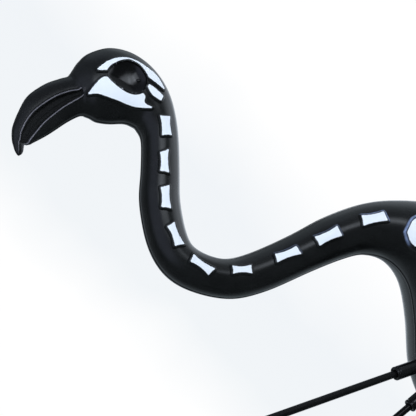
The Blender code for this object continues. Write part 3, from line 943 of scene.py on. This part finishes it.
sleeve_plastic = moulded_plastic("black_sleeve_plastic", (0.003, 0.003, 0.0034), 0.20, 0.3)
leg_lines = {}
for name, leg_x, lean, side, drop in LEGS:
    run = Vector((math.tan(lean), side * math.tan(LEG_SPLAY), -1.0)).normalized()
    end = on_plane(leg_x, 0) + Vector((0, side * LEG_OFFSET * MM, 0)) + run * drop * MM
    placed = run.to_track_quat("-Z", "Y").to_matrix().to_4x4()
    placed.translation = end
    leg_lines[name] = (end, run, placed)
    profile = ((0.0, drop + SLEEVE_SEAT), (SLEEVE_RADIUS, drop + SLEEVE_SEAT)) + SLEEVE_END
    sleeve = turned(name + "_sleeve", profile, placed, TURNED_SIDES, sleeve_plastic)
    sleeve.data.set_sharp_from_angle(angle=TURNED_EDGE)
    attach(sleeve, "root")
    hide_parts(name + "_leg_sleeve")

# Leg rods.
# Plain round steel bars, dipped in black enamel that has run along them in long faint streaks, and
# cut off level where they are pushed into the ground.
ROD_RADIUS = 3.25
ROD_GRAIN = 12.0
ROD_BLACK = (0.0022, 0.0023, 0.0027)


def enamelled_steel(name, colour):
    """Black enamel over a drawn steel bar: streaks along the bar, and a few dull scuffs."""
    material = bpy.data.materials.new(name)
    link, shader, add = shader_nodes(material)
    shader.inputs["Specular IOR Level"].default_value = 0.28
    place = add("ShaderNodeTexCoord").outputs["Object"]
    stretched = add("ShaderNodeMapping")
    stretched.inputs["Scale"].default_value = (1.0, 1.0, 0.06)
    link(place, stretched.inputs["Vector"])
    streak = add("ShaderNodeTexNoise", Scale=900.0, Detail=4.0)
    link(stretched.outputs["Vector"], streak.inputs["Vector"])
    scuff = add("ShaderNodeTexNoise", Scale=55.0, Detail=6.0, Roughness=0.7)
    link(place, scuff.inputs["Vector"])
    shade = toned(link, add, scuff.outputs["Fac"], (0.4, 0.72), (1.0, 1.6), colour)
    link(shade, shader.inputs["Base Color"])
    dull = ranged(link, add, scuff.outputs["Fac"], 0.0, 1.0, 0.24, 0.34)
    link(dull, shader.inputs["Roughness"])
    bump = add("ShaderNodeBump", Strength=0.05, Distance=0.0001)
    link(streak.outputs["Fac"], bump.inputs["Height"])
    link(bump.outputs["Normal"], shader.inputs["Normal"])
    return material


rod_enamel = enamelled_steel("black_rod_enamel", ROD_BLACK)
for name, (end, run, placed) in leg_lines.items():
    length = -end.z / run.z / MM
    steps = max(2, round(length / ROD_GRAIN))
    side_wall = [(ROD_RADIUS, ROD_SEAT - (ROD_SEAT + length) * step / steps) for step in range(steps + 1)]
    profile = [(0.0, ROD_SEAT)] + side_wall + [(0.0, -length)]
    rod = turned(name + "_rod", profile, placed, TURNED_SIDES, rod_enamel)
    for vert in rod.data.vertices:
        if vert.co.z < ROD_RADIUS * MM:
            vert.co -= run * vert.co.z / run.z
    rod.data.set_sharp_from_angle(angle=TURNED_EDGE)
    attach(rod, "root")
    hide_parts(name + "_leg_rod")

# Floor, backdrop, lights and camera.
# A pale floor and a white backdrop. Soft boxes stand all round the bird, and one broad light in
# front of it. The camera lies low beside the bird, rolled over, and looks up at its neck.
# The camera's distance from its target, its roll, how far it is tilted off the bird's side and
# towards which side of the picture, and how wide a pixel is at the target, in metres.
STAND_OFF = 0.85
ROLL = math.radians(58.5)
BELOW = math.radians(23.0)
SWING = math.radians(225.0)
PICTURE_SIZE = 416
PIXEL = 0.0009
TARGET = (-232, -79)
SENSOR = 36
FLOOR_HALF_WIDTH = 9.0
FLOOR_GREY = (0.80, 0.82, 0.84)
# The backdrop is white in two corners of the picture, with a faint blue-grey cloud of painted shade between
# them.
# Its tones run along the picture's rising diagonal, in pixels, and the cloud shifts them this much.
BACKDROP_RADIUS = 14.0
PAPER_WHITE = (1.0, 1.0, 1.0)
BACKDROP_TONES = (
    (0.16, PAPER_WHITE), (0.34, (0.875, 0.905, 0.93)), (0.58, (0.87, 0.90, 0.93)), (0.82, PAPER_WHITE),
)
BACKDROP_SPREAD = (-220.0, 380.0)
CLOUD_DRIFT = 160.0
# The broad front light: degrees to the right of the camera and above it, distance, size and power.
FILL_PLACE = (-5, 25)
FILL_DISTANCE, FILL_SIZE = 1.6, 1.5
FILL_POWER = 31
FILL_COLOUR = (0.97, 0.98, 1.0)

right = Vector((math.cos(ROLL), 0, math.sin(ROLL)))
up = Vector((-math.sin(ROLL), 0, math.cos(ROLL)))
towards = right * math.cos(SWING) + up * math.sin(SWING)
side_on = Vector((0, -1, 0))
tilt = Matrix.Rotation(BELOW, 3, side_on.cross(towards))
right, up, back = tilt @ right, tilt @ up, tilt @ side_on
target = on_plane(*TARGET)

camera_data = bpy.data.cameras.new("camera")
camera = bpy.data.objects.new("camera", camera_data)
bpy.context.scene.collection.objects.link(camera)
aim = Matrix((right, up, back)).transposed().to_4x4()
camera.matrix_world = Matrix.Translation(target + back * STAND_OFF) @ aim
camera_data.sensor_width = SENSOR
camera_data.lens = SENSOR * STAND_OFF / PIXEL / PICTURE_SIZE
bpy.context.scene.camera = camera
bpy.context.scene.view_settings.view_transform = "Standard"

WHITE_LIGHT = (0.91, 0.99, 1.10)
COOL_LIGHT = (0.86, 1.02, 1.12)
BLUE_LIGHT = (0.84, 0.92, 1.25)
# The soft boxes round the bird, as the camera sees them: degrees to the right of it and above it,
# the radius of the even part and of the faded edge in degrees, brightness and colour.
SOFT_BOXES = (
    (-30, 15, 14, 40, 0.40, BLUE_LIGHT),
    (92, 10, 10, 34, 1.06, WHITE_LIGHT),
    (130, 25, 10, 32, 0.80, WHITE_LIGHT),
    (90, 50, 14, 40, 0.24, WHITE_LIGHT),
    (150, 42, 10, 34, 0.40, WHITE_LIGHT),
    (166, 0, 9, 30, 1.10, WHITE_LIGHT),
    (180, 70, 12, 36, 0.23, COOL_LIGHT),
    (-60, 65, 16, 46, 0.10, BLUE_LIGHT),
    (6, 36, 4, 11, 1.90, WHITE_LIGHT),
    (20, 38, 4, 11, 2.20, WHITE_LIGHT),
    (35, 38, 4, 11, 1.90, WHITE_LIGHT),
    (-125, -15, 24, 60, 0.11, WHITE_LIGHT),
    (-150, -10, 12, 36, 0.21, COOL_LIGHT),
    (-150, -50, 12, 38, 0.21, COOL_LIGHT),
    (150, -45, 10, 36, 0.24, COOL_LIGHT),
    (138, -6, 8, 26, 0.70, WHITE_LIGHT),
)
# The faint light of the room between them.
DIM_ROOM = (0.078, 0.092, 0.099)


def towards_box(sideways, upward):
    """The direction that lies so many degrees to the right of the camera and above it."""
    sideways, upward = math.radians(sideways), math.radians(upward)
    level = right * math.sin(sideways) + back * math.cos(sideways)
    return level * math.cos(upward) + up * math.sin(upward)


world = bpy.data.worlds.new("studio")
bpy.context.scene.world = world
world.use_nodes = True
world_tree = world.node_tree
direction = world_tree.nodes.new("ShaderNodeTexCoord").outputs["Generated"]
total = None
for sideways, upward, even, edge, brightness, colour in SOFT_BOXES:
    facing = world_tree.nodes.new("ShaderNodeVectorMath")
    facing.operation = "DOT_PRODUCT"
    facing.inputs[1].default_value = towards_box(sideways, upward)
    world_tree.links.new(direction, facing.inputs[0])
    fade = world_tree.nodes.new("ShaderNodeMapRange")
    fade.interpolation_type = "SMOOTHSTEP"
    fade.inputs["From Min"].default_value = math.cos(math.radians(edge))
    fade.inputs["From Max"].default_value = math.cos(math.radians(even))
    world_tree.links.new(facing.outputs["Value"], fade.inputs["Value"])
    light = world_tree.nodes.new("ShaderNodeVectorMath")
    light.operation = "MULTIPLY_ADD"
    light.inputs[0].default_value = [channel * brightness for channel in colour]
    light.inputs[2].default_value = DIM_ROOM
    world_tree.links.new(fade.outputs["Result"], light.inputs[1])
    if total:
        world_tree.links.new(total, light.inputs[2])
    total = light.outputs["Vector"]
world_tree.links.new(total, world_tree.nodes["Background"].inputs["Color"])


def pale_stage(name, colour, glow):
    """A matt paper for the stage, which may glow by itself."""
    material = bpy.data.materials.new(name)
    _, shader, _ = shader_nodes(material)
    shader.inputs["Base Color"].default_value = (*colour, 1)
    shader.inputs["Roughness"].default_value = 0.8
    shader.inputs["Emission Color"].default_value = (*colour, 1)
    shader.inputs["Emission Strength"].default_value = glow
    return material


bm = bmesh.new()
bmesh.ops.create_grid(bm, x_segments=1, y_segments=1, size=FLOOR_HALF_WIDTH)
floor = new_piece("floor", bm, pale_stage("pale_floor", FLOOR_GREY, 0.0))
floor.visible_glossy = False

bm = bmesh.new()
bmesh.ops.create_uvsphere(bm, u_segments=96, v_segments=48, radius=BACKDROP_RADIUS)
backdrop_paper = pale_stage("white_backdrop", (0.0, 0.0, 0.0), 1.0)
link, shader, add = shader_nodes(backdrop_paper)
seen = add("ShaderNodeVectorMath", operation="NORMALIZE")
link(add("ShaderNodeTexCoord").outputs["Object"], seen.inputs[0])
slant = add("ShaderNodeVectorMath", operation="DOT_PRODUCT")
slant.inputs[1].default_value = (right + up) * STAND_OFF / PIXEL
link(seen.outputs["Vector"], slant.inputs[0])
cloud = add("ShaderNodeTexNoise", Scale=5.0, Detail=3.0)
link(seen.outputs["Vector"], cloud.inputs["Vector"])
drift = add("ShaderNodeMath", operation="MULTIPLY_ADD")
drift.inputs[1].default_value = CLOUD_DRIFT
link(cloud.outputs["Fac"], drift.inputs[0])
link(slant.outputs["Value"], drift.inputs[2])
tone = add("ShaderNodeValToRGB")
for place, colour in BACKDROP_TONES:
    element = tone.color_ramp.elements.new(place)
    element.color = (*colour, 1)
for end in (0, -1):
    tone.color_ramp.elements[end].color = (*PAPER_WHITE, 1)
link(ranged(link, add, drift.outputs[0], *BACKDROP_SPREAD), tone.inputs["Fac"])
link(tone.outputs["Color"], shader.inputs["Emission Color"])
backdrop = new_piece("backdrop", bm, backdrop_paper)
backdrop.visible_glossy = False
backdrop.visible_diffuse = False
backdrop.visible_shadow = False
backdrop.visible_transmission = False

# The front light only brightens what it falls on, and is seen in no reflection.
fill = bpy.data.lights.new("front_fill", "AREA")
fill.size = FILL_SIZE
fill.energy = FILL_POWER
fill.color = FILL_COLOUR
placed_fill = bpy.data.objects.new("front_fill", fill)
bpy.context.scene.collection.objects.link(placed_fill)
placed_fill.location = target + towards_box(*FILL_PLACE) * FILL_DISTANCE
placed_fill.rotation_mode = "QUATERNION"
placed_fill.rotation_quaternion = towards_box(*FILL_PLACE).to_track_quat("Z", "Y")
placed_fill.visible_camera = False
placed_fill.visible_glossy = False
